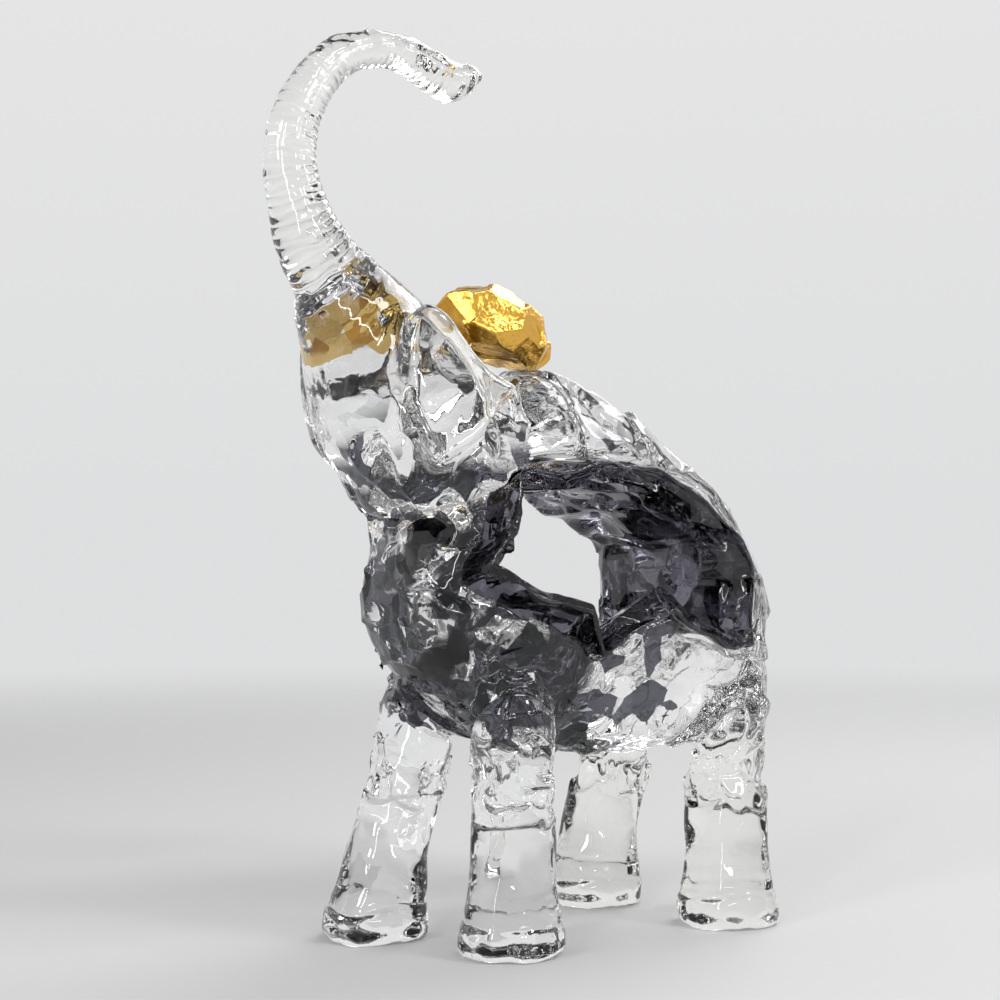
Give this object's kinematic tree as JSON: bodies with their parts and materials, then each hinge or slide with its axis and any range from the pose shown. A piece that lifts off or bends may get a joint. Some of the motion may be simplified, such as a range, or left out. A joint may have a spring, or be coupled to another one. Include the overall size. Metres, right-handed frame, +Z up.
{
  "type": "crystal glass elephant figurine",
  "caption": "Standing elephant in clear crystal with a raised, curled trunk, a faceted smoke-tinted window through its body and a gold nugget behind its crown.",
  "frame": {"origin": "on the ground under the middle of the whole figure", "axes": "+Z up, -X the way the elephant faces, -Y its left flank"},
  "size_m": [0.2518, 0.1114, 0.3608],
  "materials": {
    "clear_crystal": "polished",
    "smoke_crystal": "polished",
    "gilt": "hammered, bright gold plate"
  },
  "bodies": {
    "root": {"torso": "clear_crystal", "window_lining": "smoke_crystal", "head": "clear_crystal", "trunk": "clear_crystal", "left_ear": "clear_crystal", "right_ear": "clear_crystal", "left_front_leg": "clear_crystal", "right_front_leg": "clear_crystal", "left_rear_leg": "clear_crystal", "right_rear_leg": "clear_crystal", "tail": "clear_crystal", "gold_nugget": "gilt"}
  },
  "joints": []
}
